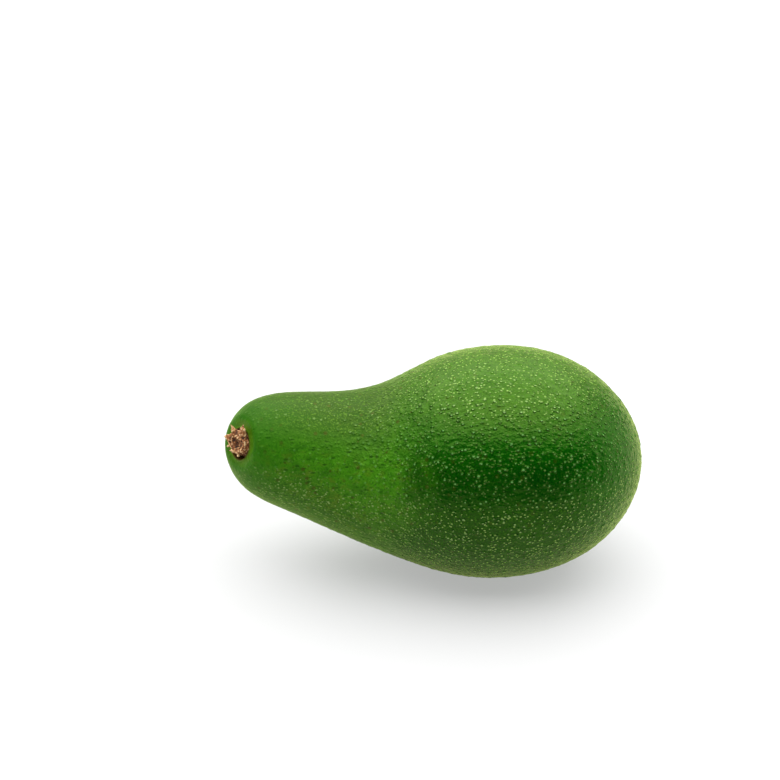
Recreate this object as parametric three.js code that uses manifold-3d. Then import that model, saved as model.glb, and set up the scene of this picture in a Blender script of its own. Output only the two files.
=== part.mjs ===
// A whole avocado of a smooth green, long-necked kind, lying on its side. Millimetres, +Z up.
// The fruit's long axis runs along X, with the stem at -X. The origin is the middle of the
// small flat spot that the fruit rests on.
import * as THREE from "three";
import { mergeVertices } from "three/addons/utils/BufferGeometryUtils.js";
import Module from "manifold-3d";

const wasm = await Module();
wasm.setup();

// The fruit's spine, from the blunt stem end to the blossom end. It is straight through the belly
// and curves up and to the front (-Y) in the neck.
const STEM_END = new THREE.Vector3(-77.3, -9.5, 48.1);
const BLOSSOM_END = new THREE.Vector3(47.4, -1.0, 40);
const STEM_YAW_DEG = 33; // how far the stem faces to the front, seen from above
const STEM_PITCH_DEG = 19; // how far it faces up
const STEM_REACH = 32; // how far the stem's direction carries into the neck
const BELLY_TILT_DEG = 8; // the belly's axis sinks towards the neck by this much
const BELLY_REACH = 77;
const NAPE_SAG = 2.5; // the dip of the spine between the neck and the belly
const NAPE_X = -34.5;
const NAPE_WIDTH = 28.5;

// Radius along the spine: a station is a distance along the spine from the stem end.
const END_FLATNESS = 14.8; // how far the blunt stem end stays flat, from its middle
const NECK_STATION = 22.8;
const NECK_RADIUS = 19.3;
const NECK_SLOPE = 0.2; // radius gained for each millimetre of spine
const NECK_REACH_BACK = 14;
const NECK_REACH_ON = 33.8;
const BELLY_STATION = 84;
const BELLY_RADIUS = 36.4;
const BELLY_REACH_BACK = 23.6;
const BELLY_REACH_ON = 28.7;
const BLOSSOM_FLATNESS = 16.8;
const LYING_WIDTH = 1.015; // the belly is a little wider than tall
const LYING_HEIGHT = 0.985;

// The dimple round the stem, and the socket that holds the stem's plug.
const DIMPLE_DEPTH = 2.2;
const DIMPLE_RADIUS = 5;
const LIP_HEIGHT = 0.5;
const LIP_RADIUS = 8.2;
const LIP_WIDTH = 1.9;
const SOCKET_RADIUS = 4.7;
const SOCKET_DEPTH = 5.8;
const PLUG_GAP = 0.4;

// The low pebbles of the skin.
const PEBBLE_HEIGHT = 0.5;
const PEBBLE_SHIFT = 0.3; // how far each is off its place in the staggered rows, in mesh steps
const PEBBLE_SEED = 11;
const SMOOTH_NECK_STATION = 10; // the skin is smoother from here to the stem
const FULL_PEBBLE_STATION = 55;
const REST_SMOOTH_HEIGHT = 2.5; // no pebbles under the fruit, up to this height

// The dry remnant of the stem: a plug with a torn, crumbled end that stands out of the dimple.
const PLUG_RADIUS = SOCKET_RADIUS - PLUG_GAP;
const PLUG_DEPTH = SOCKET_DEPTH - PLUG_GAP;
const TORN_HEIGHT = 0.8; // how far the torn end stands over the stem end
const TORN_FROM = 0.9; // the plug is torn from this far below the stem end
const PITH_RADIUS = 1.6;
const PITH_DEPTH = 1.4;
const LOWER_NARROWING = 0.5; // the torn end is narrower at its lower edge by this share
const LOWER_SHORTENING = 0.22; // and that edge lies closer to the middle by this share
const CRUMBS = 16;
const CRUMB_SIZE = 1.1;
const CRUMB_HEIGHT = 0.75;
const CRUMB_SEED = 5;
// Splinters of the torn rim. The turn runs round the stem from its top towards the front.
const SPLINTERS = [
  { turnDeg: 14, widthDeg: 15, reach: 3.2, rise: 0.8 },
  { turnDeg: -43, widthDeg: 8, reach: 1.8, rise: 1.0 },
  { turnDeg: -89, widthDeg: 14, reach: 0.5, rise: 1.3 },
  { turnDeg: 80, widthDeg: 28, reach: 0.1, rise: 0.45 },
];

const FRUIT_SEGMENTS = 90;
const CAP_STEPS = 12;
const FLANK_STEPS = 28;
const END_STEPS = 26;
const STEM_SEGMENTS = 60;

// Repeatable random numbers from 0 to 1.
function randomFrom(seed) {
  let state = seed;
  return () => {
    state = (state * 1664525 + 1013904223) % 4294967296;
    return state / 4294967296;
  };
}

const smooth = (low, high, value) => THREE.MathUtils.smoothstep(value, low, high);
const bell = (value, width) => Math.exp(-((value / width) ** 2));

// Unit vector that points from the neck's end out of the stem.
function stemDirection() {
  const yaw = THREE.MathUtils.degToRad(STEM_YAW_DEG);
  const pitch = THREE.MathUtils.degToRad(STEM_PITCH_DEG);
  return new THREE.Vector3(
    -Math.cos(yaw) * Math.cos(pitch),
    -Math.sin(yaw) * Math.cos(pitch),
    Math.sin(pitch),
  );
}

function makeSpine() {
  const tilt = THREE.MathUtils.degToRad(BELLY_TILT_DEG);
  const towardsNeck = new THREE.Vector3(-Math.cos(tilt), 0, -Math.sin(tilt));
  return new THREE.CubicBezierCurve3(
    STEM_END,
    STEM_END.clone().addScaledVector(stemDirection(), -STEM_REACH),
    BLOSSOM_END.clone().addScaledVector(towardsNeck, BELLY_REACH),
    BLOSSOM_END,
  );
}

const spine = makeSpine();
const SPINE_LENGTH = spine.getLength();

function spinePoint(station) {
  const point = spine.getPointAt(THREE.MathUtils.clamp(station / SPINE_LENGTH, 0, 1));
  point.z -= NAPE_SAG * bell(point.x - NAPE_X, NAPE_WIDTH);
  return point;
}

// The spine's middle, and the three directions of the cross-section there.
function sectionAt(station) {
  const step = 0.5;
  const from = THREE.MathUtils.clamp(station, step, SPINE_LENGTH - step);
  const along = spinePoint(from + step).sub(spinePoint(from - step)).normalize();
  const across = new THREE.Vector3().crossVectors(along, new THREE.Vector3(0, 0, 1)).normalize();
  const up = new THREE.Vector3().crossVectors(across, along);
  const middle = spinePoint(station);
  const beyond = station - THREE.MathUtils.clamp(station, 0, SPINE_LENGTH);
  return { middle: middle.addScaledVector(along, beyond), along, across, up };
}

// Moves a lathed vertex (x across, y along, z up) onto the bent spine.
function ontoSpine(point) {
  const { middle, across, up } = sectionAt(point.y);
  return middle
    .addScaledVector(across, point.x * LYING_WIDTH)
    .addScaledVector(up, point.z * LYING_HEIGHT);
}

// The outline as points of radius and station, from the socket's floor to the blossom end.
function fruitOutline() {
  const slope = new THREE.Vector2(NECK_SLOPE, 1).normalize();
  const stemPole = new THREE.Vector2(0, 0);
  const neck = new THREE.Vector2(NECK_RADIUS, NECK_STATION);
  const belly = new THREE.Vector2(BELLY_RADIUS, BELLY_STATION);
  const blossomPole = new THREE.Vector2(0, SPINE_LENGTH);
  const cap = new THREE.CubicBezierCurve(
    stemPole,
    new THREE.Vector2(END_FLATNESS, 0),
    neck.clone().addScaledVector(slope, -NECK_REACH_BACK),
    neck,
  );
  const flank = new THREE.CubicBezierCurve(
    neck,
    neck.clone().addScaledVector(slope, NECK_REACH_ON),
    new THREE.Vector2(BELLY_RADIUS, BELLY_STATION - BELLY_REACH_BACK),
    belly,
  );
  const end = new THREE.CubicBezierCurve(
    belly,
    new THREE.Vector2(BELLY_RADIUS, BELLY_STATION + BELLY_REACH_ON),
    new THREE.Vector2(BLOSSOM_FLATNESS, SPINE_LENGTH),
    blossomPole,
  );
  const skin = [
    ...cap.getSpacedPoints(CAP_STEPS),
    ...flank.getSpacedPoints(FLANK_STEPS).slice(1),
    ...end.getSpacedPoints(END_STEPS).slice(1),
  ].filter((p) => p.x > SOCKET_RADIUS + 0.5 || p.y > NECK_STATION);
  for (const p of skin) p.y += dimple(p.x, p.y);
  const mouth = new THREE.Vector2(SOCKET_RADIUS, dimple(SOCKET_RADIUS, 0) + 0.2);
  return [
    new THREE.Vector2(0, SOCKET_DEPTH),
    new THREE.Vector2(SOCKET_RADIUS, SOCKET_DEPTH),
    mouth,
    ...skin,
  ];
}

// How far the surface at this radius sinks along the spine: the dimple, less its raised lip.
function dimple(radius, station) {
  if (station > NECK_STATION) return 0;
  const hollow = DIMPLE_DEPTH * bell(radius, DIMPLE_RADIUS);
  const lip = LIP_HEIGHT * bell(radius - LIP_RADIUS, LIP_WIDTH);
  return (hollow - lip) * (1 - smooth(2, 8, station));
}

// A lathe's vertices run ring by ring of equal angle. move(point, row, column) changes each one.
function reshapeLathe(outline, segments, move) {
  const geometry = new THREE.LatheGeometry(outline, segments);
  const position = geometry.getAttribute("position");
  for (let i = 0; i < position.count; i += 1) {
    const column = Math.floor(i / outline.length) % segments;
    const row = i % outline.length;
    const point = new THREE.Vector3().fromBufferAttribute(position, i);
    if (outline[row].x === 0) point.set(0, point.y, 0);
    const moved = move(point, row, column);
    position.setXYZ(i, moved.x, moved.y, moved.z);
  }
  geometry.deleteAttribute("normal");
  geometry.deleteAttribute("uv");
  return mergeVertices(geometry, 1e-4);
}

function toSolid(geometry) {
  return new wasm.Manifold(
    new wasm.Mesh({
      numProp: 3,
      vertProperties: geometry.getAttribute("position").array,
      triVerts: new Uint32Array(geometry.index.array),
    }),
  );
}

function toGeometry(solid) {
  const mesh = solid.getMesh();
  return new THREE.BufferGeometry()
    .setAttribute("position", new THREE.BufferAttribute(mesh.vertProperties, 3))
    .setIndex(new THREE.BufferAttribute(mesh.triVerts, 1));
}

// One pebble for each of the fruit's vertices: how high it stands and how far it is off its place.
// Only every second vertex of every second ring stands up, in staggered rows.
function pebbleField(rows) {
  const random = randomFrom(PEBBLE_SEED);
  const offset = () => (random() - 0.5) * 2 * PEBBLE_SHIFT;
  return Array.from({ length: rows * FRUIT_SEGMENTS }, (_, i) => {
    const row = Math.floor(i / FRUIT_SEGMENTS);
    const stands = row % 2 === 0 && (i + row / 2) % 2 === 0;
    const height = stands ? PEBBLE_HEIGHT * (0.5 + 0.5 * random()) : 0;
    const turn = (offset() * 2 * Math.PI) / FRUIT_SEGMENTS;
    const slide = (offset() * SPINE_LENGTH) / rows;
    return { height, turn, slide };
  });
}

function fruitGeometry() {
  const outline = fruitOutline();
  const pebbles = pebbleField(outline.length);
  const axis = new THREE.Vector3(0, 1, 0);
  const body = reshapeLathe(outline, FRUIT_SEGMENTS, (point, row, column) => {
    const { height, turn, slide } = pebbles[row * FRUIT_SEGMENTS + column];
    const radius = Math.hypot(point.x, point.z);
    const loose = smooth(SOCKET_DEPTH, SMOOTH_NECK_STATION, point.y) * (radius / BELLY_RADIUS);
    if (radius > 0) {
      const before = outline[row - 1];
      const after = outline[row + 1];
      const slope = after.clone().sub(before).normalize();
      const grown = 1 + (slope.x * slide * loose) / radius;
      point.set(point.x * grown, point.y + slope.y * slide * loose, point.z * grown);
      point.applyAxisAngle(axis, turn * loose);
    }
    const placed = ontoSpine(point);
    const outwards = placed.clone().sub(sectionAt(point.y).middle).normalize();
    const rough = 0.25 + 0.75 * smooth(SMOOTH_NECK_STATION, FULL_PEBBLE_STATION, point.y);
    const low = smooth(0, REST_SMOOTH_HEIGHT, placed.z);
    return placed.addScaledVector(outwards, height * rough * low * loose);
  });
  const below = new THREE.BoxGeometry(400, 400, 100).translate(0, 0, -50);
  below.deleteAttribute("normal");
  below.deleteAttribute("uv");
  return toGeometry(toSolid(body).subtract(toSolid(mergeVertices(below))));
}

// The stem's outline as radius and station: from the pith, over the torn rim, to the plug's foot.
function stemOutline() {
  const torn = new THREE.CatmullRomCurve3(
    [
      [0, PITH_DEPTH - TORN_HEIGHT],
      [PITH_RADIUS * 0.7, PITH_DEPTH * 0.8 - TORN_HEIGHT],
      [PITH_RADIUS * 1.3, -TORN_HEIGHT * 0.9],
      [PLUG_RADIUS * 0.8, -TORN_HEIGHT],
      [PLUG_RADIUS, -TORN_HEIGHT * 0.4],
      [PLUG_RADIUS, TORN_FROM],
    ].map(([radius, station]) => new THREE.Vector3(radius, station, 0)),
  );
  const plug = [
    [PLUG_RADIUS, PLUG_DEPTH - 1],
    [PLUG_RADIUS * 0.8, PLUG_DEPTH],
    [0, PLUG_DEPTH],
  ];
  return [
    ...torn.getSpacedPoints(19).map((p) => new THREE.Vector2(Math.max(p.x, 0), p.y)),
    ...plug.map(([radius, station]) => new THREE.Vector2(radius, station)),
  ];
}

// Crumbs of bark and wood: some stand up and some are gone.
function makeCrumbs() {
  const random = randomFrom(CRUMB_SEED);
  return Array.from({ length: CRUMBS }, (_, i) => {
    const away = PLUG_RADIUS * Math.sqrt((i + 0.5) / CRUMBS);
    const turn = i * 2.4 + random();
    return {
      x: away * Math.sin(turn),
      z: away * Math.cos(turn),
      size: CRUMB_SIZE * (0.6 + 0.6 * random()),
      height: CRUMB_HEIGHT * (i % 3 === 0 ? -1 : 1) * (0.4 + 0.6 * random()),
    };
  });
}

function stemGeometry() {
  const outline = stemOutline();
  const crumbs = makeCrumbs();
  return reshapeLathe(outline, STEM_SEGMENTS, (point) => {
    const radius = Math.hypot(point.x, point.z);
    const torn = 1 - smooth(-TORN_HEIGHT * 0.5, TORN_FROM, point.y);
    let rise = 0;
    let reach = 0;
    for (const crumb of crumbs) {
      const share = bell(Math.hypot(point.x - crumb.x, point.z - crumb.z), crumb.size);
      rise += share * crumb.height;
      reach += share * crumb.height * 0.5;
    }
    for (const splinter of SPLINTERS) {
      const off = Math.atan2(point.x, point.z) - THREE.MathUtils.degToRad(splinter.turnDeg);
      const turned = THREE.MathUtils.radToDeg(Math.atan2(Math.sin(off), Math.cos(off)));
      const share = bell(turned, splinter.widthDeg) * smooth(0.6, 1, radius / PLUG_RADIUS);
      rise += share * splinter.rise;
      reach += share * splinter.reach;
    }
    const grown = 1 + (torn * reach) / PLUG_RADIUS;
    const lower = (1 - smooth(TORN_FROM, PLUG_DEPTH - 1, point.y)) * smooth(0, PLUG_RADIUS, -point.z);
    point.x *= grown * (1 - LOWER_NARROWING * lower);
    point.z *= grown * (1 - LOWER_SHORTENING * lower);
    point.y -= torn * rise;
    return ontoSpine(point);
  });
}

function namedMesh(name, geometry, look) {
  geometry.computeVertexNormals();
  const mesh = new THREE.Mesh(geometry, new THREE.MeshStandardMaterial(look));
  mesh.name = name;
  return mesh;
}

const avocado = new THREE.Group();
avocado.add(
  namedMesh("fruit", fruitGeometry(), { color: 0x2f7524, roughness: 0.42, metalness: 0 }),
  namedMesh("stem_button", stemGeometry(), { color: 0x8a5a3a, roughness: 0.9, metalness: 0 }),
);

export default avocado;
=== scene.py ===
"""The looks of a whole avocado lying on its side: skin with pebbles and lenticels, and a dry stem.

The skin and the stem are built again, finer, from the part's own form. Metres, +Z up, and the fruit's
long axis along X with the stem at -X. Forms are worked out in millimetres and scaled once.
"""

import math

import bmesh
import bpy
import numpy as np
from mathutils import Matrix, Vector


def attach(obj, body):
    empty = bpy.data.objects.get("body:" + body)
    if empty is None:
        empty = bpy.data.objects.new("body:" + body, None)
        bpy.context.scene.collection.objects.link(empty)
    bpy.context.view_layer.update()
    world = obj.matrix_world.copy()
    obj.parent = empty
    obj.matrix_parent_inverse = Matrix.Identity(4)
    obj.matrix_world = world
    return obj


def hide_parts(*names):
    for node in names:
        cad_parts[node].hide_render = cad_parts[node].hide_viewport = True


MM = 0.001

# The fruit's spine, as in the part.
STEM_END = np.array([-77.3, -9.5, 48.1])
BLOSSOM_END = np.array([47.4, -1.0, 40.0])
STEM_YAW = math.radians(33)
STEM_PITCH = math.radians(19)
STEM_REACH = 32
BELLY_TILT = math.radians(8)
BELLY_REACH = 77
NAPE_SAG = 2.5
NAPE_X = -34.5
NAPE_WIDTH = 28.5
SPINE_STEPS = 200

# The radius along the spine, as in the part.
END_FLATNESS = 14.8
NECK_STATION = 22.8
NECK_RADIUS = 19.3
NECK_SLOPE = 0.2
NECK_REACH_BACK = 14
NECK_REACH_ON = 33.8
BELLY_STATION = 84
BELLY_RADIUS = 36.4
BELLY_REACH_BACK = 23.6
BELLY_REACH_ON = 28.7
BLOSSOM_FLATNESS = 16.8
LYING_WIDTH = 1.015
LYING_HEIGHT = 0.985
CURVE_STEPS = 800

# The dimple and the socket round the stem, as in the part, with a rounded lip.
DIMPLE_DEPTH = 2.2
DIMPLE_RADIUS = 5
LIP_HEIGHT = 0.5
LIP_RADIUS = 8.2
LIP_WIDTH = 1.9
SOCKET_RADIUS = 4.7
SOCKET_DEPTH = 5.8
SOCKET_ROUNDING = 0.6
SOCKET_LIP_TURNS = [75, 45, 20]

# The skin's relief: low pebbles, and a raised lenticel in each smaller cell.
PEBBLE_CELL = 2.5
PEBBLE_HEIGHT = 0.16
LENTICEL_CELL = 1.5
LENTICEL_HEIGHT = 0.1
FINE_CELL = 0.95
CELL_RANDOMNESS = 0.9
CELL_STRETCH = 1.25
BLOSSOM_SCAR_DEPTH = 0.5
BLOSSOM_SCAR_RADIUS = 1.5
REST_SMOOTH_HEIGHT = 1.2
COLUMNS = 330
SKIN_ROWS = 284

# Relief that is too fine for the mesh, as bump heights.
CREASE_HEIGHT = 0.32
RAISED_DOT_HEIGHT = 0.2
FINE_DOT_HEIGHT = 0.09
GRAIN_HEIGHT = 0.03
DASH_HEIGHT = -0.05

# The cells of two kinds of marks, and how much longer some patterns are along X.
CREASE_STRETCH = 1.7
DASH_CELL = 2.0
DASH_STRETCH = 2.2
SPECK_CELL = 3.4
BLOTCH_STRETCH = 1.5

# The skin's colours, in sRGB from 0 to 255.
NECK_GREEN = (64, 128, 21)
# The next colour is painted shade on the neck's top.
NECK_TOP_SHADE_GREEN = (26, 52, 8)
NECK_SHADE_GREEN = (48, 88, 20)
NECK_OLIVE = (92, 98, 30)
NECK_DEEP_GREEN = (18, 76, 8)
BELLY_GREEN = (0, 61, 3)
# The next colour is a painted sheen on the belly's top.
BELLY_SHEEN_GREEN = (92, 106, 54)
# The next colour is painted light on a band under the belly's top and towards the blossom end.
BELLY_LIT_GREEN = (20, 112, 8)
BROAD_PATCH_GREEN = (28, 88, 6)
SMALL_PATCH_GREEN = (8, 62, 6)
NECK_LIGHT_GRAIN = (108, 146, 60)
BELLY_LIGHT_GRAIN = (64, 112, 20)
NECK_DARK_GRAIN = (16, 64, 6)
BELLY_DARK_GRAIN = (2, 40, 3)
NECK_FINE_DOT = (142, 166, 120)
BELLY_FINE_DOT = (134, 162, 104)
FRONT_LENTICEL = (98, 166, 106)
PALE_LENTICEL = (140, 168, 124)
DASH_GREEN = (20, 66, 8)
SPECK_BROWN = (58, 52, 16)
# The next colour is painted shade round the stem end.
STEM_END_SHADE_GREEN = (26, 92, 8)
STEM_RIM_GREEN = (94, 130, 26)
SOCKET_BROWN = (88, 58, 32)
SCAR_BROWN = (52, 44, 22)

# The stem, as in the part, with more crumbs and with shreds of bark. Turns of splinters and shreds are
# in degrees, and those of crumbs in radians.
PLUG_RADIUS = 4.3
PLUG_DEPTH = 5.4
TORN_HEIGHT = 0.8
TORN_FROM = 0.9
PITH_RADIUS = 1.6
PITH_DEPTH = 1.4
LOWER_NARROWING = 0.5
LOWER_SHORTENING = 0.22
STEM_COLUMNS = 120
TORN_ROWS = 40
STEM_VOXEL = 0.12
CRUMBS = 34
CRUMB_TURN = 2.4
CRUMB_RADIUS = 0.75
SHREDS = 26
SHRED_TURN = 137.5
STEM_SEED = 5
CRUMBLE = [
    {"size": 1.2, "strength": 1.0},
    {"size": 0.5, "strength": 0.3},
]
PROUD_ROUNDS = 30
SPLINTERS = [
    {"turn": 14, "width": 15, "reach": 3.2, "rise": 0.8},
    {"turn": -43, "width": 8, "reach": 1.8, "rise": 1.0},
    {"turn": -89, "width": 14, "reach": 0.5, "rise": 1.3},
    {"turn": 80, "width": 28, "reach": 0.1, "rise": 0.45},
]

# The stem's colours, in sRGB from 0 to 255.
# The next colour is painted shade in the stem's crevices.
CREVICE_SHADE_BROWN = (50, 18, 8)
BARK_BROWN = (172, 108, 56)
# The next colour is a painted highlight on the stem's ridges.
RIDGE_HIGHLIGHT_TAN = (240, 206, 152)
RED_BROWN = (138, 62, 32)
FIBRE_TAN = (236, 200, 150)

# The floor glows a little under the fruit and behind it, and the glow fades out towards the camera.
FLOOR_HALF_SIZE = 4
FLOOR_GREY = 0.38
FLOOR_GLOW = 0.42
GLOW_START_Y = -0.5
GLOW_FULL_Y = -0.12

# Soft light from large panels, and a little from the world.
WORLD_STRENGTH = 0.02
PANELS = [
    {"name": "overhead", "at": (0, 0.58, 1.0), "aim": (0, 0.58, 0), "size": (2.2, 2.36), "watts": 38},
    {"name": "wide", "at": (0, 0.58, 1.05), "aim": (0, 0.58, 0), "size": (4.8, 2.36), "watts": 29},
    {"name": "behind", "at": (0, 1.9, 0.55), "aim": (0, 0, 0.3), "size": (3.2, 1.1), "watts": 9},
    {"name": "right", "at": (1.5, 0.3, 0.5), "aim": (0, 0, 0.05), "size": (1.2, 0.9), "watts": 5.0},
    {"name": "left", "at": (-1.5, -0.1, 0.5), "aim": (0, 0, 0.05), "size": (1.0, 0.8), "watts": 0.8},
]

CAMERA_AZIMUTH = math.radians(-1)
CAMERA_ELEVATION = math.radians(30)
CAMERA_DISTANCE = 0.7
CAMERA_AIM = Vector((-0.0305, 0.0086, 0.0559))
CAMERA_LENS = 103.85
CAMERA_SENSOR = 36


def smooth(low, high, value):
    share = np.clip((np.asarray(value, float) - low) / (high - low), 0, 1)
    return share * share * (3 - 2 * share)


def bell(value, width):
    return np.exp(-((value / width) ** 2))


def bezier(points, t):
    """Points of a cubic Bezier curve at the parameters t."""
    t = np.asarray(t, float)[:, None]
    a, b, c, d = (np.asarray(p, float) for p in points)
    return (1 - t) ** 3 * a + 3 * (1 - t) ** 2 * t * b + 3 * (1 - t) * t**2 * c + t**3 * d


def lengths_along(points):
    steps = np.linalg.norm(np.diff(points, axis=0), axis=1)
    return np.concatenate([[0], np.cumsum(steps)])


def evenly(points, count):
    """The polyline resampled to count points with equal spacing."""
    along = lengths_along(points)
    places = np.linspace(0, along[-1], count)
    return np.stack([np.interp(places, along, axis) for axis in points.T], axis=1)


class Spine:
    """The fruit's bent middle line, and the way from a straight form onto it."""

    def __init__(self):
        out_of_stem = np.array(
            [
                -math.cos(STEM_YAW) * math.cos(STEM_PITCH),
                -math.sin(STEM_YAW) * math.cos(STEM_PITCH),
                math.sin(STEM_PITCH),
            ]
        )
        to_neck = np.array([-math.cos(BELLY_TILT), 0, -math.sin(BELLY_TILT)])
        self.handles = [
            STEM_END,
            STEM_END - STEM_REACH * out_of_stem,
            BLOSSOM_END + BELLY_REACH * to_neck,
            BLOSSOM_END,
        ]
        self.parameters = np.linspace(0, 1, SPINE_STEPS + 1)
        self.lengths = lengths_along(bezier(self.handles, self.parameters))
        self.length = self.lengths[-1]

    def middle(self, stations):
        inside = np.clip(stations, 0, self.length)
        points = bezier(self.handles, np.interp(inside, self.lengths, self.parameters))
        points[:, 2] -= NAPE_SAG * bell(points[:, 0] - NAPE_X, NAPE_WIDTH)
        return points

    def place(self, across, stations, up):
        """Positions of points given across the spine, along it and up from it."""
        step = 0.5
        around = np.clip(stations, step, self.length - step)
        along = self.middle(around + step) - self.middle(around - step)
        along /= np.linalg.norm(along, axis=1)[:, None]
        side = np.cross(along, [0, 0, 1])
        side /= np.linalg.norm(side, axis=1)[:, None]
        rise = np.cross(side, along)
        beyond = stations - np.clip(stations, 0, self.length)
        return (
            self.middle(stations)
            + along * beyond[:, None]
            + side * (across * LYING_WIDTH)[:, None]
            + rise * (up * LYING_HEIGHT)[:, None]
        )


def dimple(radius, station):
    """How far the surface sinks along the spine: the dimple, less its raised lip."""
    hollow = DIMPLE_DEPTH * bell(radius, DIMPLE_RADIUS)
    lip = LIP_HEIGHT * bell(radius - LIP_RADIUS, LIP_WIDTH)
    return (hollow - lip) * (1 - smooth(2, 8, station))


def skin_outline(spine):
    """Radius and station from the socket's floor to the blossom end."""
    neck = np.array([NECK_RADIUS, NECK_STATION])
    slope = np.array([NECK_SLOPE, 1]) / math.hypot(NECK_SLOPE, 1)
    belly = np.array([BELLY_RADIUS, BELLY_STATION])
    tip = np.array([0, spine.length])
    curves = [
        [(0, 0), (END_FLATNESS, 0), neck - NECK_REACH_BACK * slope, neck],
        [neck, neck + NECK_REACH_ON * slope, belly - (0, BELLY_REACH_BACK), belly],
        [belly, belly + (0, BELLY_REACH_ON), tip + (BLOSSOM_FLATNESS, 0), tip],
    ]
    steps = np.linspace(0, 1, CURVE_STEPS)
    full = np.concatenate([bezier(curve, steps) for curve in curves])
    mouth = SOCKET_RADIUS + SOCKET_ROUNDING
    full = full[(full[:, 0] > mouth) | (full[:, 1] > NECK_STATION)]
    full[:, 1] += dimple(full[:, 0], full[:, 1])
    at_blossom = full[:, 1] > BELLY_STATION
    full[:, 1] -= BLOSSOM_SCAR_DEPTH * bell(full[:, 0], BLOSSOM_SCAR_RADIUS) * at_blossom
    skin = evenly(full, SKIN_ROWS)
    lip_station = float(dimple(mouth, 0))
    turns = np.radians(SOCKET_LIP_TURNS)
    lip = [
        (mouth - SOCKET_ROUNDING * math.sin(a), lip_station + SOCKET_ROUNDING * (1 - math.cos(a)))
        for a in turns
    ]
    floor = [(0, SOCKET_DEPTH), (SOCKET_RADIUS, SOCKET_DEPTH), (SOCKET_RADIUS, 3)]
    return np.concatenate([floor, lip, skin])


def lathe(outline, columns):
    """A closed mesh turned from an outline that starts and ends on the axis.

    Returns the ring points (across, station, up) and the faces. The two poles are single points.
    """
    turns = np.linspace(0, 2 * math.pi, columns, endpoint=False)
    rings = outline[1:-1]
    radius = np.repeat(rings[:, 0], columns)
    station = np.repeat(rings[:, 1], columns)
    turn = np.tile(turns, len(rings))
    points = np.stack([radius * np.sin(turn), station, radius * np.cos(turn)], axis=1)
    points = np.concatenate([points, [[0, outline[0, 1], 0], [0, outline[-1, 1], 0]]])
    first_pole, last_pole = len(points) - 2, len(points) - 1
    faces = []
    for row in range(len(rings) - 1):
        low, high = row * columns, (row + 1) * columns
        for i in range(columns):
            j = (i + 1) % columns
            faces.append((low + i, low + j, high + j, high + i))
    last = (len(rings) - 1) * columns
    for i in range(columns):
        j = (i + 1) % columns
        faces.append((j, i, first_pole))
        faces.append((last + i, last + j, last_pole))
    return points, faces


def new_object(name, points, faces):
    mesh = bpy.data.meshes.new(name)
    mesh.from_pydata([tuple(p) for p in points * MM], [], faces)
    mesh.update()
    thing = bpy.data.objects.new(name, mesh)
    bpy.context.scene.collection.objects.link(thing)
    mesh.shade_smooth()
    return thing


def store(mesh, name, values):
    """Keeps one number or one vector for each vertex."""
    values = np.asarray(values, np.float32)
    kind = "FLOAT_VECTOR" if values.ndim == 2 else "FLOAT"
    field = "vector" if values.ndim == 2 else "value"
    attribute = mesh.attributes.new(name, kind, "POINT")
    attribute.data.foreach_set(field, values.ravel())


def cell_distances(thing, size):
    """The distance of each vertex from the middle of its cell, as a share of the cell's size.

    It comes from the texture that the skin's material also uses, so that the relief and the colours
    fall on the same spots.
    """
    group = bpy.data.node_groups.new("cells", "GeometryNodeTree")
    for way in ("INPUT", "OUTPUT"):
        group.interface.new_socket("Geometry", in_out=way, socket_type="NodeSocketGeometry")
    graph = Graph(group)
    start = graph.node("NodeGroupInput")
    read = graph.node("GeometryNodeInputNamedAttribute", {"data_type": "FLOAT_VECTOR"}, Name="cell_place")
    cells = graph.cells(read.outputs["Attribute"], size)
    keep = graph.node(
        "GeometryNodeStoreNamedAttribute",
        {"data_type": "FLOAT", "domain": "POINT"},
        Geometry=start.outputs[0],
        Name="distance",
        Value=cells.outputs["Distance"],
    )
    graph.node("NodeGroupOutput", Geometry=keep.outputs["Geometry"])
    modifier = thing.modifiers.new("cells", "NODES")
    modifier.node_group = group
    shown = thing.evaluated_get(bpy.context.evaluated_depsgraph_get())
    distances = np.zeros(len(thing.data.vertices), np.float32)
    shown.data.attributes["distance"].data.foreach_get("value", distances)
    thing.modifiers.remove(modifier)
    return distances


def vertex_array(mesh, field="co"):
    values = np.zeros(len(mesh.vertices) * 3)
    if field == "co":
        mesh.vertices.foreach_get("co", values)
    else:
        mesh.vertex_normals.foreach_get("vector", values)
    return values.reshape(-1, 3)


def make_skin(spine):
    outline = skin_outline(spine)
    points, faces = lathe(outline, COLUMNS)
    station = points[:, 1]
    radius = np.hypot(points[:, 0], points[:, 2])
    placed = spine.place(points[:, 0], station, points[:, 2])
    skin = new_object("skin", placed, faces)
    store(skin.data, "place", placed)
    store(skin.data, "cell_place", placed / [CELL_STRETCH, 1, 1])
    store(skin.data, "station", station)
    on_body = station > NECK_STATION
    outside = np.clip(smooth(SOCKET_RADIUS, SOCKET_RADIUS + 2, radius) + on_body, 0, 1)
    socket = 1 - np.clip(smooth(SOCKET_RADIUS + 0.1, SOCKET_RADIUS + 0.7, radius) + on_body, 0, 1)
    rough = 0.3 + 0.7 * smooth(15, 60, station)
    low = smooth(0, REST_SMOOTH_HEIGHT, placed[:, 2])
    pebble = PEBBLE_HEIGHT * (1 - smooth(0, 0.8, cell_distances(skin, PEBBLE_CELL)))
    lenticel = LENTICEL_HEIGHT * (1 - smooth(0.1, 0.45, cell_distances(skin, LENTICEL_CELL)))
    height = (pebble + lenticel) * rough * outside * low
    normals = vertex_array(skin.data, "normal")
    store(skin.data, "upwards", normals[:, 2])
    moved = placed + normals * height[:, None]
    moved[:, 2] = np.maximum(moved[:, 2], 0)
    skin.data.vertices.foreach_set("co", (moved * MM).ravel())
    skin.data.update()
    store(skin.data, "socket", socket)
    return skin


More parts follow.
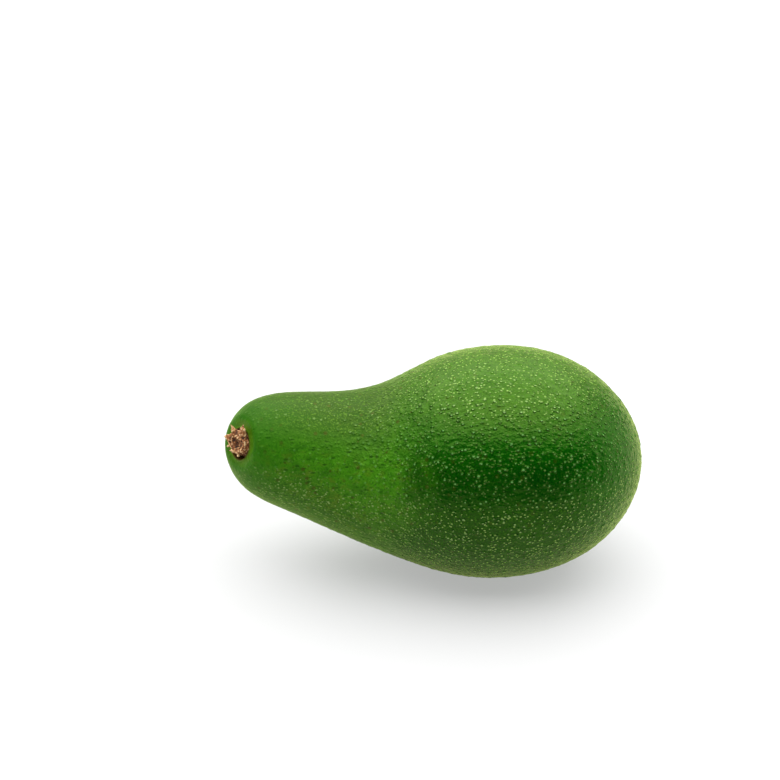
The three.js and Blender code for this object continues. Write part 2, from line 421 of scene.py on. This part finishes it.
def stem_outline():
    torn = np.array(
        [
            (0, PITH_DEPTH - TORN_HEIGHT),
            (PITH_RADIUS * 0.7, PITH_DEPTH * 0.8 - TORN_HEIGHT),
            (PITH_RADIUS * 1.3, -TORN_HEIGHT * 0.9),
            (PLUG_RADIUS * 0.8, -TORN_HEIGHT),
            (PLUG_RADIUS, -TORN_HEIGHT * 0.4),
            (PLUG_RADIUS, TORN_FROM),
        ]
    )
    plug = [(PLUG_RADIUS, PLUG_DEPTH - 1), (PLUG_RADIUS * 0.8, PLUG_DEPTH), (0, PLUG_DEPTH)]
    return np.concatenate([evenly(torn, TORN_ROWS), plug])


def torn_stem(spine, random):
    """The plug with its splintered rim and its crumbs."""
    points, faces = lathe(stem_outline(), STEM_COLUMNS)
    radius = np.hypot(points[:, 0], points[:, 2])
    turn = np.degrees(np.arctan2(points[:, 0], points[:, 2]))
    torn = 1 - smooth(-TORN_HEIGHT * 0.5, TORN_FROM, points[:, 1])
    rise = np.zeros(len(points))
    reach = np.zeros(len(points))
    for i in range(CRUMBS):
        away = PLUG_RADIUS * math.sqrt((i + 0.5) / CRUMBS)
        angle = i * CRUMB_TURN + random.random()
        off = np.hypot(points[:, 0] - away * math.sin(angle), points[:, 2] - away * math.cos(angle))
        height = (-0.7 if i % 3 == 0 else 0.55) * (0.5 + 0.5 * random.random())
        share = bell(off, CRUMB_RADIUS * (0.6 + 0.7 * random.random()))
        rise += share * height
        reach += share * height * 0.5
    for splinter in SPLINTERS:
        off = (turn - splinter["turn"] + 180) % 360 - 180
        share = bell(off, splinter["width"]) * smooth(0.6, 1, radius / PLUG_RADIUS)
        rise += share * splinter["rise"]
        reach += share * splinter["reach"]
    grown = 1 + torn * reach / PLUG_RADIUS
    above = 1 - smooth(TORN_FROM, PLUG_DEPTH - 1, points[:, 1])
    lower = above * smooth(0, PLUG_RADIUS, -points[:, 2])
    across = points[:, 0] * grown * (1 - LOWER_NARROWING * lower)
    up = points[:, 2] * grown * (1 - LOWER_SHORTENING * lower)
    return spine.place(across, points[:, 1] - torn * rise, up), faces


def shred(spine, turn, away, length, thick, lean, random):
    """One bent shred of bark that stands out of the torn end, as points and faces."""
    mesh = bmesh.new()
    bmesh.ops.create_icosphere(mesh, subdivisions=3, radius=1)
    points = np.array([v.co for v in mesh.verts])
    faces = [tuple(v.index for v in f.verts) for f in mesh.faces]
    mesh.free()
    wave = np.sin(points @ np.array([3.1, 2.3, 4.7]) + random.random() * 6)
    points *= (1 + 0.18 * wave)[:, None]
    points *= np.array([thick * 1.5, length, thick])
    points[:, 2] += 0.35 * length * (points[:, 1] / length) ** 2
    tilt = Matrix.Rotation(lean, 3, "X") @ Matrix.Rotation(random.random() * 3, 3, "Y")
    points = points @ np.array(tilt).T
    points[:, 2] += away
    spin = np.array(Matrix.Rotation(turn, 3, "Y"))
    points = points @ spin.T
    station = -TORN_HEIGHT * 0.6 + points[:, 1]
    return spine.place(points[:, 0], station, points[:, 2]), faces


def make_stem(spine):
    random = np.random.default_rng(STEM_SEED)
    parts = [torn_stem(spine, random)]
    for i in range(SHREDS):
        turn = math.radians(i * SHRED_TURN)
        away = PLUG_RADIUS * (0.35 + 0.62 * random.random())
        length = 0.35 + 0.65 * random.random()
        thick = 0.2 + 0.22 * random.random()
        lean = math.radians(-60 + 120 * random.random())
        parts.append(shred(spine, turn, away, length, thick, lean, random))
    points = np.concatenate([p for p, _ in parts])
    faces = []
    start = 0
    for part_points, part_faces in parts:
        faces += [tuple(start + i for i in face) for face in part_faces]
        start += len(part_points)
    stem = new_object("stem", points, faces)
    remesh = stem.modifiers.new("remesh", "REMESH")
    remesh.mode = "VOXEL"
    remesh.voxel_size = STEM_VOXEL * MM
    for crumble in CRUMBLE:
        texture = bpy.data.textures.new("crumble", "CLOUDS")
        texture.noise_scale = crumble["size"] * MM
        texture.noise_depth = 2
        displace = stem.modifiers.new("crumble", "DISPLACE")
        displace.texture = texture
        displace.texture_coords = "GLOBAL"
        displace.strength = crumble["strength"] * MM
        displace.mid_level = 0.55
    shown = stem.evaluated_get(bpy.context.evaluated_depsgraph_get())
    mesh = bpy.data.meshes.new_from_object(shown)
    stem.modifiers.clear()
    stem.data = mesh
    mesh.shade_smooth()
    store(mesh, "proud", proudness(mesh))
    return stem


def proudness(mesh):
    """How far each vertex stands over the smoothed surface, in millimetres. Crevices are negative."""
    points = vertex_array(mesh) / MM
    edges = np.zeros(len(mesh.edges) * 2, np.int64)
    mesh.edges.foreach_get("vertices", edges)
    first, second = edges.reshape(-1, 2).T
    count = np.bincount(np.concatenate([first, second]), minlength=len(points))[:, None]
    flat = points.copy()
    for _ in range(PROUD_ROUNDS):
        total = np.zeros_like(flat)
        np.add.at(total, first, flat[second])
        np.add.at(total, second, flat[first])
        flat = total / count
    return np.einsum("ij,ij->i", points - flat, vertex_array(mesh, "normal"))


class Graph:
    """Short ways to add and link nodes."""

    def __init__(self, tree):
        self.tree = tree

    def node(self, kind, settings=None, **inputs):
        made = self.tree.nodes.new(kind)
        for key, value in (settings or {}).items():
            setattr(made, key, value)
        for key, value in inputs.items():
            self.put(made.inputs[key.replace("_", " ")], value)
        return made

    def put(self, socket, value):
        if isinstance(value, bpy.types.NodeSocket):
            self.tree.links.new(value, socket)
        else:
            socket.default_value = value

    def cells(self, place, size):
        return self.node(
            "ShaderNodeTexVoronoi",
            {"voronoi_dimensions": "3D", "feature": "F1"},
            Vector=place,
            Scale=1 / size,
            Randomness=CELL_RANDOMNESS,
        )

    def stretched(self, place, along):
        """The same place, but with patterns longer along X."""
        made = self.node("ShaderNodeVectorMath", {"operation": "MULTIPLY"})
        self.put(made.inputs[0], place)
        made.inputs[1].default_value = (1 / along, 1, 1)
        return made.outputs["Vector"]

    def noise(self, place, scale, detail=3.0):
        made = self.node("ShaderNodeTexNoise", Vector=place, Scale=scale, Detail=detail)
        return made.outputs["Fac"]

    def attribute(self, name, output="Fac"):
        return self.node("ShaderNodeAttribute", {"attribute_name": name}).outputs[output]

    def ramp(self, value, low, high, start=0.0, end=1.0):
        """Goes smoothly from start to end while value goes from low to high."""
        made = self.node("ShaderNodeMapRange", {"interpolation_type": "SMOOTHSTEP"}, Value=value)
        for key, number in zip(("From Min", "From Max", "To Min", "To Max"), (low, high, start, end)):
            made.inputs[key].default_value = number
        return made.outputs["Result"]

    def math(self, operation, *values):
        made = self.node("ShaderNodeMath", {"operation": operation})
        for socket, value in zip(made.inputs, values):
            self.put(socket, value)
        return made.outputs[0]

    def times(self, first, second):
        return self.math("MULTIPLY", first, second)

    def mix(self, share, first, second):
        made = self.node("ShaderNodeMix", {"data_type": "RGBA"})
        for socket, value in zip((made.inputs[0], made.inputs[6], made.inputs[7]), (share, first, second)):
            self.put(socket, value)
        return made.outputs[2]

    def away_from(self, place, point):
        made = self.node("ShaderNodeVectorMath", {"operation": "DISTANCE"})
        self.put(made.inputs[0], place)
        made.inputs[1].default_value = point
        return made.outputs["Value"]

    def bump(self, height, distance, strength, normal=None):
        made = self.node("ShaderNodeBump", Height=height, Distance=distance, Strength=strength)
        if normal is not None:
            self.put(made.inputs["Normal"], normal)
        return made.outputs["Normal"]


def colour(picked):
    """A linear colour from one picked in sRGB, 0 to 255."""
    shares = [value / 255 for value in picked]
    linear = [s / 12.92 if s <= 0.04045 else ((s + 0.055) / 1.055) ** 2.4 for s in shares]
    return (*linear, 1.0)


def new_material(name, thing):
    material = bpy.data.materials.new(name)
    material.use_nodes = True
    thing.data.materials.clear()
    thing.data.materials.append(material)
    tree = material.node_tree
    return Graph(tree), tree.nodes["Principled BSDF"]


class SkinFields:
    """The places and patterns that the skin's colours and its relief share."""

    def __init__(self, g):
        self.place = g.attribute("place", "Vector")
        self.station = g.attribute("station")
        self.upwards = g.attribute("upwards")
        cell_place = g.attribute("cell_place", "Vector")
        self.lenticels = g.cells(cell_place, LENTICEL_CELL).outputs
        self.fine = g.cells(cell_place, FINE_CELL).outputs
        dash_cells = g.cells(g.stretched(self.place, DASH_STRETCH), DASH_CELL).outputs["Distance"]
        self.dash = g.times(g.ramp(dash_cells, 0.22, 0.12), g.ramp(self.station, 75, 50, 0.0, 0.75))
        self.patchy = g.noise(self.place, 0.22, 4.0)
        self.grain = g.noise(self.place, 1.8, 3.0)
        underneath = g.ramp(self.upwards, 0.3, -0.3, 0.0, 9.0)
        uneven = g.ramp(self.patchy, 0.3, 0.7, -3.0, 3.0)
        border = g.math("ADD", g.math("ADD", self.station, underneath), uneven)
        self.on_belly = g.ramp(border, 44, 70)
        self.on_neck = g.math("SUBTRACT", 1.0, self.on_belly)
        front = g.times(g.ramp(self.upwards, 0.05, 0.3), g.ramp(self.upwards, 0.9, 0.7))
        self.dotted = g.ramp(front, 0.0, 1.0, 1.0, 0.25)


def ground_green(g, skin):
    """Light green on the neck, dark green on the belly, with soft patches and a fine grain.

    The neck has painted shade on top and below. The belly has a painted sheen on top, and painted light on
    a band under its top and towards the blossom end, where it is lighter green.
    """
    green = g.mix(skin.on_belly, colour(NECK_GREEN), colour(BELLY_GREEN))
    # Painted shade: the neck's top is mixed towards a darker green.
    neck_top_shade = g.times(g.ramp(skin.upwards, 0.45, 1.0, 0.0, 0.95), skin.on_neck)
    green = g.mix(neck_top_shade, green, colour(NECK_TOP_SHADE_GREEN))
    shaded = g.times(g.ramp(skin.upwards, 0.35, -0.3, 0.0, 0.7), skin.on_neck)
    green = g.mix(shaded, green, colour(NECK_SHADE_GREEN))
    # Painted sheen: the belly's top is mixed towards a paler, yellower green.
    sheen_on_top = g.times(g.ramp(skin.upwards, 0.6, 0.9, 0.0, 0.5), skin.on_belly)
    green = g.mix(sheen_on_top, green, colour(BELLY_SHEEN_GREEN))
    # Painted light: a lighter green band under the belly's top, and towards the blossom end.
    lit_band = g.times(g.ramp(skin.upwards, 0.4, 0.65, 0.0, 0.32), skin.on_belly)
    lit_band_and_end = g.math("MAXIMUM", g.ramp(skin.station, 100, 118, 0.0, 0.32), lit_band)
    green = g.mix(lit_band_and_end, green, colour(BELLY_LIT_GREEN))
    broad = g.noise(skin.place, 0.035, 2.0)
    green = g.mix(g.ramp(broad, 0.35, 0.7, 0.0, 0.25), green, colour(BROAD_PATCH_GREEN))
    green = g.mix(g.ramp(skin.patchy, 0.45, 0.7, 0.0, 0.35), green, colour(SMALL_PATCH_GREEN))
    blotches = g.noise(g.stretched(skin.place, BLOTCH_STRETCH), 0.5, 4.0)
    olive = g.times(g.ramp(blotches, 0.5, 0.7, 0.0, 0.4), g.ramp(skin.upwards, 0.8, 0.3))
    olive = g.times(olive, skin.on_neck)
    green = g.mix(olive, green, colour(NECK_OLIVE))
    deep = g.times(g.ramp(blotches, 0.48, 0.3, 0.0, 0.45), skin.on_neck)
    green = g.mix(deep, green, colour(NECK_DEEP_GREEN))
    light = g.mix(skin.on_belly, colour(NECK_LIGHT_GRAIN), colour(BELLY_LIGHT_GRAIN))
    green = g.mix(g.times(g.ramp(skin.grain, 0.5, 0.7, 0.0, 0.55), skin.dotted), green, light)
    dark = g.mix(skin.on_belly, colour(NECK_DARK_GRAIN), colour(BELLY_DARK_GRAIN))
    return g.mix(g.ramp(skin.grain, 0.48, 0.3, 0.0, 0.7), green, dark)


def pale_dots(g, skin, green):
    """Many small faint dots, and fewer, larger and clearer lenticels."""
    size = g.ramp(skin.fine["Color"], 0.2, 0.8, 1.0, 1.6)
    low_on_neck = g.ramp(skin.upwards, 0.6, 0.0, 0.05, 0.9)
    spread = g.math("MAXIMUM", g.ramp(skin.station, 30, 65, 0.0, 1.0), low_on_neck)
    dots = g.times(g.ramp(g.times(skin.fine["Distance"], size), 0.38, 0.2), g.times(spread, skin.dotted))
    green = g.mix(dots, green, g.mix(skin.on_belly, colour(NECK_FINE_DOT), colour(BELLY_FINE_DOT)))
    size = g.ramp(skin.lenticels["Color"], 0.2, 0.8, 1.0, 1.8)
    spread = g.math("ADD", g.ramp(skin.station, 30, 70, 0.15, 0.65), g.times(skin.dotted, 0.25))
    dots = g.times(g.ramp(g.times(skin.lenticels["Distance"], size), 0.26, 0.15), spread)
    return g.mix(dots, green, g.mix(skin.dotted, colour(FRONT_LENTICEL), colour(PALE_LENTICEL)))


def dark_marks(g, skin, green):
    """Short dark dashes on the neck, and a few brown specks."""
    green = g.mix(skin.dash, green, colour(DASH_GREEN))
    specks = g.cells(skin.place, SPECK_CELL).outputs
    speck = g.times(specks["Distance"], g.ramp(specks["Color"], 0.3, 0.7, 1.0, 2.5))
    share = g.times(g.ramp(speck, 0.26, 0.12), g.ramp(skin.station, 75, 50, 0.3, 0.7))
    return g.mix(share, green, colour(SPECK_BROWN))


def skin_ends(g, skin, green):
    """Painted shade that darkens the skin round the stem, its pale rim, the brown socket and the blossom's
    scar.
    """
    from_stem = g.away_from(skin.place, tuple(STEM_END))
    # Painted shade: the skin round the stem end is mixed towards a darker green.
    green = g.mix(g.ramp(from_stem, 24, 9, 0.0, 0.55), green, colour(STEM_END_SHADE_GREEN))
    rim = g.ramp(g.math("ADD", from_stem, g.times(skin.patchy, 4.0)), 10.4, 7.2, 0.0, 0.6)
    green = g.mix(rim, green, colour(STEM_RIM_GREEN))
    green = g.mix(g.attribute("socket"), green, colour(SOCKET_BROWN))
    from_tip = g.away_from(skin.place, tuple(BLOSSOM_END))
    return g.mix(g.ramp(from_tip, 1.9, 0.7, 0.0, 0.85), green, colour(SCAR_BROWN))


def skin_relief(g, skin):
    """Creases, raised dots, grain and sunken dashes, weaker at the stem.

    The creases and the raised dots are stronger on a band round the upper belly.
    """
    pebbled = g.ramp(skin.station, 5, 60, 0.4, 1.0)
    shoulder = g.times(g.ramp(skin.upwards, 0.52, 0.64), g.ramp(skin.upwards, 0.92, 0.78))
    shoulder = g.times(shoulder, skin.on_belly)
    creases = g.noise(g.stretched(skin.place, CREASE_STRETCH), 0.75, 3.0)
    creased = g.times(g.times(creases, pebbled), g.math("ADD", g.times(shoulder, 0.4), 1.0))
    dots = g.times(g.ramp(skin.lenticels["Distance"], 0.4, 0.1), pebbled)
    raised = g.times(dots, g.math("ADD", g.times(shoulder, 1.2), 1.0))
    small = g.times(g.ramp(skin.fine["Distance"], 0.38, 0.12), pebbled)
    lift = g.bump(creased, CREASE_HEIGHT * MM, 1.0)
    lift = g.bump(raised, RAISED_DOT_HEIGHT * MM, 1.0, lift)
    lift = g.bump(small, FINE_DOT_HEIGHT * MM, 1.0, lift)
    lift = g.bump(skin.grain, GRAIN_HEIGHT * MM, 1.0, lift)
    return g.bump(skin.dash, DASH_HEIGHT * MM, 1.0, lift)


def paint_skin(thing):
    g, shader = new_material("avocado_skin", thing)
    skin = SkinFields(g)
    green = ground_green(g, skin)
    green = pale_dots(g, skin, green)
    green = dark_marks(g, skin, green)
    g.put(shader.inputs["Base Color"], skin_ends(g, skin, green))
    dull = g.ramp(skin.grain, 0.3, 0.75, -0.03, 0.04)
    g.put(shader.inputs["Roughness"], g.math("ADD", g.ramp(skin.station, 35, 75, 0.44, 0.13), dull))
    g.put(shader.inputs["Normal"], skin_relief(g, skin))
    shader.inputs["IOR"].default_value = 1.4
    shader.inputs["Specular Tint"].default_value = (0.58, 1.0, 0.24, 1)
    shader.inputs["Coat Weight"].default_value = 1
    shader.inputs["Coat Roughness"].default_value = 0.4
    shader.inputs["Coat IOR"].default_value = 1.04
    shader.inputs["Coat Tint"].default_value = (0.92, 0.98, 0.66, 1)


def paint_stem(stem):
    g, shader = new_material("dry_stem", stem)
    place = g.node("ShaderNodeTexCoord").outputs["Object"]
    proud = g.attribute("proud")
    grain = g.noise(place, 1400, 4.0)
    fibre = g.noise(place, 3600, 3.0)
    # Painted shade in the crevices and a painted highlight on the ridges, from how far each point stands
    # proud.
    wood_with_painted_light = g.mix(g.ramp(proud, -0.16, 0.1), colour(CREVICE_SHADE_BROWN), colour(BARK_BROWN))
    wood_with_painted_light = g.mix(g.ramp(proud, 0.05, 0.2), wood_with_painted_light, colour(RIDGE_HIGHLIGHT_TAN))
    wood_with_painted_light = g.mix(g.ramp(grain, 0.5, 0.75, 0.0, 0.55), wood_with_painted_light, colour(RED_BROWN))
    wood_with_painted_light = g.mix(g.ramp(fibre, 0.5, 0.7, 0.0, 0.25), wood_with_painted_light, colour(FIBRE_TAN))
    g.put(shader.inputs["Base Color"], wood_with_painted_light)
    g.put(shader.inputs["Roughness"], g.ramp(fibre, 0.3, 0.7, 0.7, 0.95))
    g.put(shader.inputs["Normal"], g.bump(fibre, 0.15 * MM, 0.6))


def make_floor():
    mesh = bmesh.new()
    bmesh.ops.create_grid(mesh, x_segments=1, y_segments=1, size=FLOOR_HALF_SIZE)
    data = bpy.data.meshes.new("floor")
    mesh.to_mesh(data)
    mesh.free()
    floor = bpy.data.objects.new("floor", data)
    bpy.context.scene.collection.objects.link(floor)
    g, shader = new_material("floor", floor)
    shader.inputs["Base Color"].default_value = (FLOOR_GREY, FLOOR_GREY, FLOOR_GREY, 1)
    shader.inputs["Roughness"].default_value = 0.9
    shader.inputs["Emission Color"].default_value = (1, 1, 1, 1)
    place = g.node("ShaderNodeSeparateXYZ", Vector=g.node("ShaderNodeTexCoord").outputs["Object"])
    glow = g.ramp(place.outputs["Y"], GLOW_START_Y, GLOW_FULL_Y, 0.0, FLOOR_GLOW)
    g.put(shader.inputs["Emission Strength"], glow)


def add_panel(name, at, aim, size, watts):
    light = bpy.data.lights.new(name, "AREA")
    light.shape = "RECTANGLE"
    light.size, light.size_y = size
    light.energy = watts
    panel = bpy.data.objects.new(name, light)
    panel.location = at
    panel.rotation_mode = "QUATERNION"
    panel.rotation_quaternion = (Vector(aim) - Vector(at)).to_track_quat("-Z", "Y")
    bpy.context.scene.collection.objects.link(panel)


def light_studio():
    world = bpy.data.worlds.new("studio")
    world.use_nodes = True
    background = world.node_tree.nodes["Background"]
    background.inputs["Color"].default_value = (1, 1, 1, 1)
    background.inputs["Strength"].default_value = WORLD_STRENGTH
    bpy.context.scene.world = world
    for panel in PANELS:
        add_panel(**panel)
    view = bpy.context.scene.view_settings
    view.view_transform = "Standard"
    view.look = "None"
    view.exposure = 0
    view.gamma = 1


def make_camera():
    back = Vector(
        (
            math.sin(CAMERA_AZIMUTH) * math.cos(CAMERA_ELEVATION),
            -math.cos(CAMERA_AZIMUTH) * math.cos(CAMERA_ELEVATION),
            math.sin(CAMERA_ELEVATION),
        )
    )
    data = bpy.data.cameras.new("camera")
    data.sensor_fit = "HORIZONTAL"
    data.sensor_width = CAMERA_SENSOR
    data.lens = CAMERA_LENS
    camera = bpy.data.objects.new("camera", data)
    camera.location = CAMERA_AIM + back * CAMERA_DISTANCE
    camera.rotation_mode = "QUATERNION"
    camera.rotation_quaternion = (-back).to_track_quat("-Z", "Y")
    bpy.context.scene.collection.objects.link(camera)
    bpy.context.scene.camera = camera


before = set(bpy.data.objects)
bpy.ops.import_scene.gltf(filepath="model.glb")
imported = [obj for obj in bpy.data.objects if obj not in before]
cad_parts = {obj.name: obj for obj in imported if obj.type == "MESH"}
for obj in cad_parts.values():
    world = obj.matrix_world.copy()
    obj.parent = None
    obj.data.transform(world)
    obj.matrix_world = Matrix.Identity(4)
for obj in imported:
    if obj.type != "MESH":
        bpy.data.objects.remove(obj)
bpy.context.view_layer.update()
make_camera()

middle_line = Spine()
skin = make_skin(middle_line)
paint_skin(skin)
stem = make_stem(middle_line)
paint_stem(stem)
for piece, node, slot in ((skin, "fruit", "skin"), (stem, "stem_button", "dry_stem")):
    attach(piece, "root")
    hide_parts(node)

make_floor()
light_studio()
